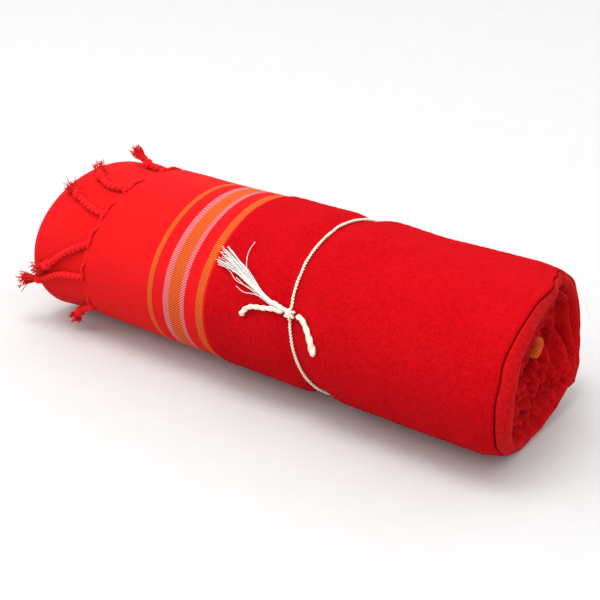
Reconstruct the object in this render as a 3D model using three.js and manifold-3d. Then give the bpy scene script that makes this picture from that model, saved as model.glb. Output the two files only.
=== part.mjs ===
// A rolled kikoy: a cotton cloth with twisted tassels and a towelling lining, folded in four,
// rolled up and tied with a string. Millimetres, +Z up.
// The roll lies along X on its flat spot, and the origin is on the surface under its middle.
import * as THREE from 'three';
import * as BufferGeometryUtils from 'three/addons/utils/BufferGeometryUtils.js';
import Module from 'manifold-3d';

const wasm = await Module();
wasm.setup();

// Driving dimensions
// Angles go round the roll in degrees, from 0 at the top over the front (-Y) to 180 at the bottom.
const ROLL = {
  halfWidth: 81, // at mid length
  taper: 0.015, // gain in half width for each mm towards +X
  flatness: 0.85, // height over width
  axisDrop: 5.2, // how far the axis sinks, which gives the flat spot
  flapAngle: 230, // the outermost turn ends here, at the back close to the floor
  flapStep: 11, // thickness of the folded cloth at that end
  flapBulge: 3, // the folds' ends round out by this much
  pitch: 17, // thickness of each turn further in
  turns: 3.5, // turns shown on the end faces
};
const GAP = 0.3; // between two pieces that touch
const KIKOY = {
  innerLayer: 2.8, // the next turn lies this deep beyond the fringed edge
  edge: 0.5, // the fringed edge slopes down over this length
  stripWidth: 7, // the strip at the cloth's edge that carries the tassels
  stripThickness: 2.3,
  sag: { depth: 4.5, angle: 138, spread: 28 }, // that turn hangs out towards the left end, low in front
};
const TOWELLING = {
  left: -43, // its sewn edge
  thickness: 2.6,
  raise: 1.4, // it stands this high over the woven cloth beside it
  endGap: 4, // degrees between its inner end and the flap
};
const TIE = {
  angle: 67, // where the knot lies
  depth: 5, // how deep the string draws the roll in
  reach: 20, // the waist runs out over this length
  flat: 3, // half width of the waist's floor
  diameter: 2.6,
  knot: { along: 6, round: 5.6, high: 4.4 },
  knotHalfAngle: 4.1, // half of the room that the knot takes in the string
};
const COLUMNS = 40; // facets in each turn

const rad = THREE.MathUtils.degToRad;
const { lerp, smoothstep } = THREE.MathUtils;
const sinDeg = (angle) => Math.sin(rad(angle));
const cosDeg = (angle) => Math.cos(rad(angle));

// Places along the roll that wander a little with the angle
const fringeX = (angle) => -160 - 9.5 * sinDeg(angle - 27);
const leftEndX = (angle) => -224 - 13 * sinDeg(angle - 12);
const tieX = (angle) => 45.7 - 16.2 * cosDeg(angle) - 4.9 * sinDeg(angle);

// The right end round the roll: the outermost layer's edge, how far the lip of the next layer
// stands out of it, and how far both are tucked in at the bottom.
const RIGHT_RIM = [
  { angle: 0, groove: 214, lip: 4, tuck: 2.5 },
  { angle: 45, groove: 213.5, lip: 8, tuck: 0.5 },
  { angle: 90, groove: 214, lip: 11.5, tuck: 1 },
  { angle: 125, groove: 212, lip: 8, tuck: 3 },
  { angle: 160, groove: 205, lip: 5, tuck: 2.5 },
  { angle: 195, groove: 204, lip: 4, tuck: 1.5 },
  { angle: 230, groove: 204, lip: 6, tuck: 0 },
  { angle: 270, groove: 198, lip: 5, tuck: 0 },
  { angle: 300, groove: 196, lip: 4, tuck: 0 },
  { angle: 325, groove: 197, lip: 3, tuck: 1.5 },
  { angle: 345, groove: 207, lip: 3, tuck: 3 },
  { angle: 360, groove: 214, lip: 4, tuck: 2.5 },
];

function rightRim(angle, column) {
  const at = ((angle % 360) + 360) % 360;
  const n = RIGHT_RIM.findIndex((row, i) => i > 0 && at <= row.angle);
  const [from, to] = [RIGHT_RIM[n - 1], RIGHT_RIM[n]];
  return lerp(from[column], to[column], smoothstep(at, from.angle, to.angle));
}

const grooveX = (angle) => rightRim(angle, 'groove');
const rimX = (angle) => grooveX(angle) + 0.6 * rightRim(angle, 'lip');

// The wound section
const halfWidth = (x) => ROLL.halfWidth + ROLL.taper * x;
const axisHeight = (x) => ROLL.flatness * halfWidth(x) - ROLL.axisDrop;

// How far the winding has gone inwards, at a turn angle counted from the flap's end.
function windingInset(turn) {
  const outermost = Math.min(turn, 360) / 360;
  const further = Math.max(turn - 360, 0) / 360;
  return ROLL.flapStep * (outermost - 0.5) + ROLL.pitch * further;
}

// A point of the roll: depth is measured inwards from the woven cloth, floor is its least height.
function woundPoint(x, turn, depth, floor) {
  const angle = ROLL.flapAngle + turn;
  const inset = windingInset(turn) + depth;
  const y = -(halfWidth(x) - inset) * sinDeg(angle);
  const z = axisHeight(x) + (ROLL.flatness * halfWidth(x) - inset) * cosDeg(angle);
  return new THREE.Vector3(x, y, Math.max(z, floor));
}

const turnOf = (angle) => (((angle - ROLL.flapAngle) % 360) + 360) % 360;

// Depth of the waist that the string draws in, at a distance from the string.
function waistDepth(distance) {
  const beyond = Math.max(Math.abs(distance) - TIE.flat, 0);
  const share = Math.min(beyond / TIE.reach, 1);
  return TIE.depth * 0.5 * (1 + Math.cos(Math.PI * share));
}

// A point over the towelling, at a height above its surface.
function onTowelling(x, angle, height) {
  const waist = waistDepth(x - tieX(angle));
  return woundPoint(x, turnOf(angle), waist - TOWELLING.raise - height, waist - height);
}

// Mesh helpers
class Surface {
  constructor() {
    this.points = [];
    this.faces = [];
  }

  point(p) {
    this.points.push(p.x, p.y, p.z);
    return this.points.length / 3 - 1;
  }

  quad(a, b, c, d) {
    this.faces.push(a, b, c, a, c, d);
  }

  geometry() {
    const geometry = new THREE.BufferGeometry();
    geometry.setAttribute('position', new THREE.Float32BufferAttribute(this.points, 3));
    geometry.setIndex(this.faces);
    return geometry;
  }
}

// Joins closed shells into one solid, and fills the voids that they enclose.
function fuse(geometries) {
  let solid = null;
  for (const source of geometries) {
    const bare = source.index ? source.clone() : BufferGeometryUtils.mergeVertices(source);
    bare.deleteAttribute('normal');
    bare.deleteAttribute('uv');
    const merged = BufferGeometryUtils.mergeVertices(bare, 1e-5);
    const shell = new wasm.Manifold(new wasm.Mesh({
      numProp: 3,
      vertProperties: merged.attributes.position.array,
      triVerts: new Uint32Array(merged.index.array),
    }));
    solid = solid ? solid.add(shell) : shell;
  }
  const [outermost] = solid.decompose().sort((a, b) => b.volume() - a.volume());
  const mesh = outermost.simplify(0.02).getMesh();
  const geometry = new THREE.BufferGeometry();
  geometry.setAttribute('position', new THREE.BufferAttribute(mesh.vertProperties, 3));
  geometry.setIndex(new THREE.BufferAttribute(mesh.triVerts, 1));
  return geometry;
}

// A closed shell between two grids of points of the same size.
function shell(outerGrid, innerGrid) {
  const surface = new Surface();
  const outer = outerGrid.map((row) => row.map((p) => surface.point(p)));
  const inner = innerGrid.map((row) => row.map((p) => surface.point(p)));
  const lastRow = outer.length - 1;
  const side = outer[0].length - 1;
  for (let i = 0; i < lastRow; i += 1) {
    for (let j = 0; j < side; j += 1) {
      surface.quad(outer[i][j], outer[i][j + 1], outer[i + 1][j + 1], outer[i + 1][j]);
      surface.quad(inner[i][j], inner[i + 1][j], inner[i + 1][j + 1], inner[i][j + 1]);
    }
    surface.quad(outer[i][0], outer[i + 1][0], inner[i + 1][0], inner[i][0]);
    surface.quad(outer[i + 1][side], outer[i][side], inner[i][side], inner[i + 1][side]);
  }
  for (let j = 0; j < side; j += 1) {
    surface.quad(outer[0][j + 1], outer[0][j], inner[0][j], inner[0][j + 1]);
    surface.quad(outer[lastRow][j], outer[lastRow][j + 1], inner[lastRow][j + 1], inner[lastRow][j]);
  }
  return surface.geometry();
}

// A closed tube along a curve. section(t, a) gives its radius and may twist or taper it.
function tube(curve, steps, sides, section) {
  const surface = new Surface();
  const frames = curve.computeFrenetFrames(steps, false);
  const rings = [];
  for (let i = 0; i <= steps; i += 1) {
    const t = i / steps;
    const centre = curve.getPointAt(t);
    const ring = [];
    for (let k = 0; k < sides; k += 1) {
      const around = (2 * Math.PI * k) / sides;
      const { radius, turn } = section(t, around);
      const p = centre.clone();
      p.addScaledVector(frames.normals[i], radius * Math.cos(around + turn));
      p.addScaledVector(frames.binormals[i], radius * Math.sin(around + turn));
      ring.push(surface.point(p));
    }
    rings.push(ring);
  }
  for (let i = 0; i < steps; i += 1) {
    for (let k = 0; k < sides; k += 1) {
      const next = (k + 1) % sides;
      surface.quad(rings[i][k], rings[i][next], rings[i + 1][next], rings[i + 1][k]);
    }
  }
  const start = surface.point(curve.getPointAt(0));
  const end = surface.point(curve.getPointAt(1));
  for (let k = 0; k < sides; k += 1) {
    const next = (k + 1) % sides;
    surface.faces.push(start, rings[0][next], rings[0][k]);
    surface.faces.push(end, rings[steps][k], rings[steps][next]);
  }
  return surface.geometry();
}

// The turn beside the fringed edge, which sags towards the left end
const sagStart = (angle) => fringeX(angle) - KIKOY.edge - KIKOY.stripWidth - 2 * GAP;

function besideDepth(x, angle) {
  const { depth, angle: low, spread } = KIKOY.sag;
  const from = sagStart(angle);
  const share = THREE.MathUtils.clamp((from - x) / (from - leftEndX(angle) - 10), 0, 1);
  const away = (((angle % 360) + 360) % 360 - low) / spread;
  return KIKOY.innerLayer - depth * share * Math.exp(-(away ** 2));
}

// The roll
// Its surface is a grid of stations along X by columns round the outermost turn. Each station
// has a place, a depth under the woven cloth's level and a least height over the floor. The ones
// beside the fringe have their depth under the turn that lies there.
const waistOffsets = [-26, -16, -9, -TIE.flat, TIE.flat, 9, 16, 26];

// Stations of the towelling, which the roll's bed under it follows.
function towellingStations() {
  const stations = [
    { x: () => TOWELLING.left, waist: 0 },
    { x: () => TOWELLING.left + 22, waist: 0 },
  ];
  for (const offset of waistOffsets) {
    stations.push({ x: (angle) => tieX(angle) + offset, waist: waistDepth(offset) });
  }
  for (const x of [115, 165]) {
    stations.push({ x: () => x, waist: 0 });
  }
  stations.push({ x: (angle) => grooveX(angle) - 16, waist: 0, tucked: 0.35 });
  stations.push({ x: (angle) => grooveX(angle) - 3, waist: 0, tucked: 1 });
  return stations;
}

function rollStations() {
  const bed = TOWELLING.thickness - TOWELLING.raise + GAP;
  const bedFloor = TOWELLING.thickness + GAP;
  const stations = [
    { x: (angle) => leftEndX(angle) + 1, beside: 4.5 },
    { x: (angle) => leftEndX(angle) + 4, beside: 1.6 },
    { x: (angle) => leftEndX(angle) + 10, beside: 0 },
    { x: sagStart, beside: 0 },
    { x: (angle) => fringeX(angle) - KIKOY.edge, beside: 0 },
    { x: fringeX, depth: 0, floor: 0 },
    { x: () => TOWELLING.left - 2 * GAP, depth: 0, floor: 0 },
    { x: () => TOWELLING.left - GAP, depth: bed, floor: bedFloor },
  ];
  for (const { x, waist, tucked } of towellingStations().slice(1)) {
    stations.push({ x, depth: bed + waist, floor: bedFloor + waist, tucked });
  }
  stations.push({ x: (angle) => grooveX(angle) + 1, depth: bed, floor: bedFloor, tucked: 1 });
  stations.push({ x: (angle) => grooveX(angle) + 2, depth: 0.2, floor: 0, tucked: 1 });
  stations.push({ x: rimX, depth: 1.6, floor: 0.8, tucked: 1 });
  return stations;
}

// End faces: the winding shows as a spiral band, and each turn has two folds side by side.
// share is the place across the band. lip is the outermost turn's profile as a share of the
// rim's lip, and folds the other turns' in millimetres.
const BAND = [
  { share: 0, lip: 0, folds: 0 },
  { share: 0.22, lip: 0.4, folds: 8 },
  { share: 0.5, lip: 0.36, folds: 2.5 },
  { share: 0.76, lip: -0.1, folds: 7 },
  { share: 1, lip: 0, folds: 0 },
];
const RIGHT_END = {
  valley: -9, sink: 3, folding: 1, crumple: 2.2, coreDepth: 6, lip: (angle) => rightRim(angle, 'lip'),
};
const LEFT_END = { valley: -4, sink: 1.5, folding: 0.5, crumple: 0.8, coreDepth: 3, lip: () => 4 };

// How far a point of an end face stands out from the rim of the outermost turn.
function endRelief(end, turn, row) {
  const { folds } = BAND[row];
  const lip = BAND[row].lip * end.lip(ROLL.flapAngle + turn);
  const count = turn / 360;
  const inner = smoothstep(count, 0.85, 1.15);
  const crumple = end.crumple * (Math.sin(count * 17 + row * 2.1) + 0.7 * Math.sin(count * 29 + row));
  const level = (at) => (end.valley - end.sink * Math.max(at - 1, 0)) * smoothstep(at, 1, 1.12);
  const base = lerp(level(count), level(count + 1), BAND[row].share);
  return base + lerp(lip, folds * end.folding + crumple * Math.sign(folds), inner);
}

function rollGeometry() {
  const surface = new Surface();
  const stations = rollStations();
  const rows = BAND.length - 1;
  const outer = stations.map(({ x, depth, floor, beside, tucked = 0 }) => {
    const line = [];
    for (let j = 0; j <= COLUMNS; j += 1) {
      const turn = (360 * j) / COLUMNS;
      const angle = ROLL.flapAngle + turn;
      if (beside === undefined) {
        const tuck = tucked * rightRim(angle, 'tuck');
        line.push(woundPoint(x(angle), turn, depth + tuck, floor + tuck));
      } else {
        const inner = besideDepth(x(angle), angle) + beside;
        line.push(woundPoint(x(angle), turn, inner, Math.max(inner, KIKOY.innerLayer)));
      }
    }
    return line;
  });
  const grid = outer.map((line) => line.map((p) => surface.point(p)));
  const last = stations.length - 1;
  for (let i = 0; i < last; i += 1) {
    for (let j = 0; j < COLUMNS; j += 1) {
      surface.quad(grid[i][j], grid[i][j + 1], grid[i + 1][j + 1], grid[i + 1][j]);
    }
  }

  // The flap's end is a rounded wall from the outermost turn down to the turn under it.
  const wall = outer.map((line, i) => BAND.map(({ share }, k) => {
    if (k === 0) return grid[i][0];
    if (k === rows) return grid[i][COLUMNS];
    const p = line[0].clone().lerp(line[COLUMNS], share);
    const bulge = ROLL.flapBulge * Math.sin(Math.PI * share);
    p.y += bulge * cosDeg(ROLL.flapAngle);
    p.z += bulge * sinDeg(ROLL.flapAngle);
    if (i === last) p.x += BAND[k].lip * RIGHT_END.lip(ROLL.flapAngle);
    if (i === 0) p.x -= BAND[k].lip * LEFT_END.lip(ROLL.flapAngle);
    return surface.point(p);
  }));
  for (let i = 0; i < last; i += 1) {
    for (let k = 0; k < rows; k += 1) {
      surface.quad(wall[i][k], wall[i + 1][k], wall[i + 1][k + 1], wall[i][k + 1]);
    }
  }

  closeEnd(surface, outer[last], grid[last], wall[last], RIGHT_END, 1);
  closeEnd(surface, outer[0], grid[0], wall[0], LEFT_END, -1);
  return surface.geometry();
}

// Closes one end of the roll: a spiral band from the rim to the core, then the core itself.
function closeEnd(surface, rim, rimIndices, wallIndices, end, side) {
  const rows = BAND.length - 1;
  const steps = ROLL.turns * COLUMNS;
  const endX = (angle) => (side > 0 ? rimX(angle) : leftEndX(angle) + 1);
  const boundary = (j) => {
    if (j <= COLUMNS) return rim[j];
    const turn = (360 * j) / COLUMNS;
    return woundPoint(endX(ROLL.flapAngle + turn), turn, 0, 0);
  };
  const band = [];
  for (let j = 0; j <= steps; j += 1) {
    const turn = (360 * j) / COLUMNS;
    const line = [];
    for (let k = 0; k <= rows; k += 1) {
      if (j === 0) line.push(wallIndices[k]);
      else if (k === 0) line.push(j <= COLUMNS ? rimIndices[j] : band[j - COLUMNS][rows]);
      else {
        const p = boundary(j).clone().lerp(boundary(j + COLUMNS), BAND[k].share);
        p.x = endX(ROLL.flapAngle + turn) + side * endRelief(end, turn, k);
        line.push(surface.point(p));
      }
    }
    band.push(line);
  }
  const face = (a, b, c, d) => (side > 0 ? surface.quad(a, b, c, d) : surface.quad(a, d, c, b));
  for (let j = 0; j < steps; j += 1) {
    for (let k = 0; k < rows; k += 1) {
      face(band[j][k], band[j + 1][k], band[j + 1][k + 1], band[j][k + 1]);
    }
  }
  const loop = [];
  for (let j = steps - COLUMNS; j <= steps; j += 1) loop.push(band[j][rows]);
  for (let k = rows - 1; k > 0; k -= 1) loop.push(band[steps][k]);
  // The mean of the loop's outer half sees all of the loop, past the spiral's last step.
  const outerHalf = loop.slice(0, COLUMNS / 2);
  const centre = new THREE.Vector3();
  for (const index of outerHalf) {
    centre.add(new THREE.Vector3().fromArray(surface.points, 3 * index));
  }
  centre.divideScalar(outerHalf.length);
  centre.x -= side * end.coreDepth;
  const core = surface.point(centre);
  loop.forEach((index, n) => {
    const next = loop[(n + 1) % loop.length];
    surface.faces.push(...(side > 0 ? [index, next, core] : [next, index, core]));
  });
}

// The towelling lining's outermost turn, a sheet round the roll with both ends at the flap.
function towellingGeometry() {
  const turns = [];
  for (let j = 0; j < COLUMNS; j += 1) turns.push((360 * j) / COLUMNS);
  turns.push(360 - TOWELLING.endGap);
  const stations = towellingStations();
  stations.push({ x: grooveX, waist: 0, tucked: 1 });
  const grid = (under) => stations.map(({ x, waist, tucked = 0 }) => turns.map((turn) => {
    const angle = ROLL.flapAngle + turn;
    const depth = under + waist + tucked * rightRim(angle, 'tuck');
    return woundPoint(x(angle), turn, depth - TOWELLING.raise, depth);
  }));
  return shell(grid(0), grid(TOWELLING.thickness));
}

// The fringe: a strip at the cloth's left edge and its knotted tassels.
// root is the angle where a tassel leaves the strip. mid, knot and tip are points along it:
// out is the distance from the cloth's edge, swing the angle from the root, lift the height.
const TASSELS = [
  { root: -13, mid: [14, 0, 0], knot: [26, -1, 1], tip: [40, 0, 11] },
  { root: 19, mid: [24, 1, 0], knot: [42, -5, 0], tip: [53, -12, 1] },
  { root: 42, mid: [25, -3, 0], knot: [44, -9, 0], tip: [55, -13, 1] },
  { root: 63, mid: [27, 12, 0], knot: [46, 26, 0], tip: [58, 31, 1] },
  { root: 89, mid: [30, 4, 0], knot: [56, 14, 1], tip: [74, 16, 5] },
  { root: 120, mid: [13, 3, 1], knot: [21, 6, 4], tip: [26, 10, 9] },
  { root: 214, mid: [22, -4, 0], knot: [38, -2, 0], tip: [50, 2, 0] },
  { root: 240, mid: [21, 5, 0], knot: [38, 11, 0], tip: [50, 14, 1] },
  { root: 262, mid: [20, -6, 0], knot: [36, -14, 0], tip: [48, -16, 0] },
  { root: 284, mid: [20, 5, 0], knot: [37, 3, 0], tip: [50, -3, 1] },
  { root: 305, mid: [22, -4, 0], knot: [38, -8, 0], tip: [50, -11, 0] },
];
const TASSEL = {
  wide: 2.9, // half width of the cord
  narrow: 2.1, // and half thickness
  step: 3.4, // between its rings
  knot: 1.45, // swelling of the knot
  knotReach: 3,
  rootShare: 0.7, // the cord starts this much thinner
  rootLength: 6,
  tip: 1.35, // and of the loose end
  legReach: 5, // the two legs meet this far from the edge
  legSpread: [-13, 4], // degrees from the root to the foot of the upper and the lower leg
  legOverlap: 2.5, // they run on into the cord by this much
  legRadius: 1.5,
};

// A point over the layer beside the fringe, at a height above it.
function besideFringe(out, angle, height) {
  const x = fringeX(angle) - out;
  const depth = besideDepth(x, angle) - height;
  return woundPoint(x, turnOf(angle), depth, depth);
}

function tasselGeometries({ root, mid, knot, tip }) {
  const seat = TASSEL.wide * TASSEL.knot * 0.92 + GAP;
  const at = ([out, swing, lift]) => besideFringe(out, root + swing, seat + lift);
  const start = besideFringe(TASSEL.legReach, root, seat);
  const route = new THREE.CatmullRomCurve3([start, at(mid), at(knot), at(tip)], false, 'centripetal');
  const length = route.getLength();
  const steps = Math.round(length / TASSEL.step);
  const knotPlace = (start.distanceTo(at(mid)) + at(mid).distanceTo(at(knot))) / length;
  const cord = tube(route, steps, 4, (t, around) => {
    const fromKnot = ((t - knotPlace) * length) / TASSEL.knotReach;
    const nearKnot = Math.exp(-(fromKnot ** 2));
    const nearTip = smoothstep(t, knotPlace, 1);
    const grow = 1 + (TASSEL.knot - 1) * nearKnot + (TASSEL.tip - 1) * nearTip * (1 - nearKnot);
    const broad = Math.abs(Math.cos(around)) > 0.5 ? TASSEL.wide : TASSEL.narrow;
    const opening = smoothstep(t * length, 0, TASSEL.rootLength);
    const radius = broad * grow * lerp(TASSEL.rootShare, 1, opening);
    return { radius, turn: 0 };
  });
  const downhill = root > 180 ? -1 : 1;
  const legs = TASSEL.legSpread.map((spread) => {
    const footSeat = TASSEL.legRadius + 2 * GAP;
    const foot = besideFringe(KIKOY.stripWidth * 0.5, root + downhill * spread, footSeat);
    const top = besideFringe(TASSEL.legReach + TASSEL.legOverlap, root, seat);
    return tube(new THREE.LineCurve3(foot, top), 1, 4, () => ({ radius: TASSEL.legRadius, turn: 0 }));
  });
  return [cord, ...legs];
}

function fringeGeometry() {
  const turns = [1];
  for (let j = 1; j < COLUMNS; j += 1) turns.push((360 * j) / COLUMNS);
  turns.push(360 - TOWELLING.endGap);
  const start = KIKOY.edge + GAP;
  const grid = (depth) => [start + KIKOY.stripWidth, start].map((out) => turns.map((turn) => {
    const angle = ROLL.flapAngle + turn;
    return woundPoint(fringeX(angle) - out, turn, depth, depth);
  }));
  const outside = KIKOY.innerLayer - GAP - KIKOY.stripThickness;
  const strip = shell(grid(outside), grid(KIKOY.innerLayer - GAP));
  return fuse([strip, ...TASSELS.flatMap(tasselGeometries)]);
}

// The string: pulled tight round the waist from one side of the knot to the other.
// Being taut, it follows the convex outline of the section and spans the step at the flap.
function tieRoute() {
  const reach = TIE.diameter / 2 + 3 * GAP;
  const points = [];
  for (let n = 0; n < 4 * COLUMNS; n += 1) {
    const angle = TIE.angle + (360 * n) / (4 * COLUMNS);
    const fromFlap = Math.min(turnOf(angle), 360 - turnOf(angle));
    const p = onTowelling(tieX(angle), angle, reach + 2 * GAP * (1 - smoothstep(fromFlap, 0, 12)));
    points.push({ angle, p });
  }
  const turnsLeft = (a, b, c) => (b.p.y - a.p.y) * (c.p.z - a.p.z) - (b.p.z - a.p.z) * (c.p.y - a.p.y) > 0;
  let hull = points.concat([{ angle: points[0].angle + 360, p: points[0].p }]);
  for (let changed = true; changed;) {
    const kept = hull.filter((here, n) => n === 0 || n === hull.length - 1
      || turnsLeft(hull[n - 1], here, hull[n + 1]));
    changed = kept.length < hull.length;
    hull = kept;
  }
  const around = new THREE.CatmullRomCurve3(hull.map(({ p }) => p), false, 'centripetal');
  const room = TIE.knotHalfAngle / 360;
  const route = [];
  const spans = 60;
  for (let n = 0; n <= spans; n += 1) {
    route.push(around.getPointAt(lerp(room, 1 - room, n / spans)));
  }
  return new THREE.CatmullRomCurve3(route, false, 'centripetal');
}

const disc = (diameter) => new THREE.Shape().absarc(0, 0, diameter / 2, 0, 2 * Math.PI);

function tieBandGeometry() {
  const steps = 76;
  return new THREE.ExtrudeGeometry(disc(TIE.diameter), {
    steps, curveSegments: 4, bevelEnabled: false, extrudePath: tieRoute(),
  });
}

// The knot: a lump with the string's wraps raised on it, seated on the towelling.
const knotCentre = onTowelling(tieX(TIE.angle), TIE.angle, 0.9 * TIE.knot.high + GAP);

function knotGeometry() {
  const ball = new THREE.SphereGeometry(1, 16, 11);
  const position = ball.attributes.position;
  const p = new THREE.Vector3();
  const raised = 0.1;
  const wraps = (azimuth, height) => 1 + raised * Math.sin(3 * azimuth + 5 * height);
  for (let n = 0; n < position.count; n += 1) {
    p.fromBufferAttribute(position, n);
    const azimuth = Math.atan2(p.z, p.x);
    const flat = Math.hypot(p.x, p.z);
    p.multiplyScalar(flat > 0.01 ? lerp(1, wraps(azimuth, p.y), flat) : 1);
    p.multiplyScalar(1 / (1 + raised));
    position.setXYZ(n, p.x * TIE.knot.along, p.y * TIE.knot.high, p.z * TIE.knot.round);
  }
  ball.rotateX(Math.PI / 2 + rad(TIE.angle));
  ball.translate(knotCentre.x, knotCentre.y, knotCentre.z);
  return ball;
}

// Free ends of the string, as routes over the towelling: place along X, angle and height.
const END_LEFT = {
  diameter: 4.4,
  pitch: 9,
  route: [
    { x: 28.4, angle: 67.6, height: 2.7 },
    { x: 24, angle: 67, height: 2.6 },
    { x: 18, angle: 67.2, height: 2.5 },
    { x: 12.8, angle: 67.9, height: 2.5 },
    { x: 7, angle: 68.6, height: 2.5 },
    { x: 2, angle: 69.4, height: 2.5 },
    { x: -2.8, angle: 71.8, height: 2.5 },
    { x: -6.4, angle: 76.5, height: 2.5 },
  ],
};
const END_RIGHT = {
  diameter: 5,
  pitch: 10,
  route: [
    { x: 41.4, angle: 67, height: 3.2 },
    { x: 46.1, angle: 67.2, height: 3 },
    { x: 50.6, angle: 69.2, height: 2.9 },
    { x: 55.7, angle: 73.3, height: 2.8 },
    { x: 59.4, angle: 78, height: 2.8 },
    { x: 62.3, angle: 83, height: 2.8 },
    { x: 63.8, angle: 87, height: 2.8 },
  ],
};

// Two plies twisted together, with round ends.
function twistedEnd({ diameter, pitch, route }) {
  const curve = new THREE.CatmullRomCurve3(
    route.map(({ x, angle, height }) => onTowelling(x, angle, height)), false, 'centripetal',
  );
  const length = curve.getLength();
  const steps = Math.round(length / 1.5);
  return tube(curve, steps, 8, (t, around) => {
    const ply = 0.87 + 0.13 * Math.cos(2 * around);
    const fromEnd = Math.min(t, 1 - t) * length;
    const round = Math.sqrt(smoothstep(fromEnd, -1.2, diameter / 2));
    return { radius: (diameter / 2) * ply * round, turn: (2 * Math.PI * t * length) / pitch };
  });
}

// The frayed end: a short bound head with loose yarns fanned over the towelling.
// spread is the angle by which a yarn strays at its tip, rise its extra height, reach its length.
const TUFT = {
  head: [
    { x: 30.4, angle: 64.2, height: 6.8 },
    { x: 20, angle: 61.6, height: 5.6 },
  ],
  headRadius: 2.3,
  start: { x: 24, angle: 62.6, height: 5.8 },
  tip: { x: -42, angle: 48.6 },
  yarnRadius: 0.75,
  yarns: [
    { spread: -7, rise: 1.5, reach: 0.92 },
    { spread: -5, rise: 0.5, reach: 0.98 },
    { spread: -3.6, rise: 2.6, reach: 1 },
    { spread: -2.2, rise: 0.8, reach: 1.03 },
    { spread: -0.8, rise: 3, reach: 0.97 },
    { spread: 0.6, rise: 1, reach: 1.02 },
    { spread: 2, rise: 3.2, reach: 0.95 },
    { spread: 3.4, rise: 0.6, reach: 0.99 },
    { spread: 4.8, rise: 2.2, reach: 0.9 },
    { spread: 6.2, rise: 0.4, reach: 0.86 },
    { spread: 13, rise: 0.8, reach: 0.93 },
    { spread: -20, rise: 3, reach: 0.52 },
  ],
};

function tuftGeometry() {
  const over = ({ x, angle, height }) => onTowelling(x, angle, height);
  const head = tube(new THREE.LineCurve3(...TUFT.head.map(over)), 3, 8, (t) => (
    { radius: TUFT.headRadius * (0.75 + 0.5 * t * (1 - t)), turn: 0 }
  ));
  const { start, tip } = TUFT;
  const yarns = TUFT.yarns.map(({ spread, rise, reach }) => {
    const route = [0, 0.3, 0.65, 1].map((s) => over({
      x: lerp(start.x, tip.x, s * reach),
      angle: lerp(start.angle, tip.angle, s * reach) + spread * s ** 1.4,
      height: lerp(start.height, 2.6 + rise, Math.min(2 * s, 1)),
    }));
    const curve = new THREE.CatmullRomCurve3(route, false, 'centripetal');
    return tube(curve, 6, 4, (t) => ({ radius: TUFT.yarnRadius * (1 - 0.45 * t), turn: 0 }));
  });
  return fuse([head, ...yarns]);
}

// Materials
const cotton = (color, roughness) => new THREE.MeshStandardMaterial({ color, roughness, metalness: 0 });
const kikoyCotton = () => cotton(0xd8121a, 0.88);
const towellingCotton = () => cotton(0xb80c14, 0.95);
const stringCotton = () => cotton(0xeee6d4, 0.9);

// Scene graph
function piece(name, geometry, material) {
  const mesh = new THREE.Mesh(geometry, material);
  mesh.name = name;
  return mesh;
}

const cloth = new THREE.Group();
cloth.add(piece('cloth_roll', rollGeometry(), kikoyCotton()));
cloth.add(piece('towelling_panel', towellingGeometry(), towellingCotton()));
cloth.add(piece('fringe', fringeGeometry(), kikoyCotton()));

const tie = new THREE.Group();
tie.add(piece('tie_band', tieBandGeometry(), stringCotton()));
tie.add(piece('tie_knot', knotGeometry(), stringCotton()));
tie.add(piece('tie_end_left', twistedEnd(END_LEFT), stringCotton()));
tie.add(piece('tie_end_right', twistedEnd(END_RIGHT), stringCotton()));
tie.add(piece('tie_tuft', tuftGeometry(), stringCotton()));

const kikoy = new THREE.Group();
kikoy.name = 'rolled_kikoy';
kikoy.add(cloth, tie);

export default kikoy;
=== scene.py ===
import math

import bpy
import numpy as np
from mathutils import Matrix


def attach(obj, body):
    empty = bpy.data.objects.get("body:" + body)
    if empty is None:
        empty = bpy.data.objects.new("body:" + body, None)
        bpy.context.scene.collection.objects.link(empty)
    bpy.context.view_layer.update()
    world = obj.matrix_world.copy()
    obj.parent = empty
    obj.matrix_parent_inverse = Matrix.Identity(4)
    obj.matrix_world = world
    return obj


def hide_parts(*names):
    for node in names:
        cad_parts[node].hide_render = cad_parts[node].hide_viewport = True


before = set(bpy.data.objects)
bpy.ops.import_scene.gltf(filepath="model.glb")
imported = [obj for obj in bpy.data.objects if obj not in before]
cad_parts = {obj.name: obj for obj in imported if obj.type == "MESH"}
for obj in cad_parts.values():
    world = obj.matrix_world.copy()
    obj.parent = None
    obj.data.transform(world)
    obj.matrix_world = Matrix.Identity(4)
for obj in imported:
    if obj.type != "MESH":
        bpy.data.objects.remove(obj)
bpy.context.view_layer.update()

rng = np.random.default_rng(11)
MM = 0.001

# Camera: the photograph's viewing angle, in degrees, metres, and millimetres of lens and sensor
AZIMUTH, ELEVATION, DISTANCE = 34.65, 28.11, 1.226
LENS, SENSOR = 90.0, 36.0
TARGET = np.array([-0.0069, 0.0, 0.0575])

azimuth, elevation = math.radians(AZIMUTH), math.radians(ELEVATION)
back = np.array([math.sin(azimuth) * math.cos(elevation),
                 -math.cos(azimuth) * math.cos(elevation),
                 math.sin(elevation)])
camera = bpy.data.objects.new("camera", bpy.data.cameras.new("camera"))
camera.data.lens, camera.data.sensor_width = LENS, SENSOR
camera.location = TARGET + back * DISTANCE
camera.rotation_euler = (math.pi / 2 - elevation, 0.0, azimuth)
bpy.context.scene.collection.objects.link(camera)
bpy.context.scene.camera = camera
bpy.context.scene.view_settings.view_transform = "Standard"

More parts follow.
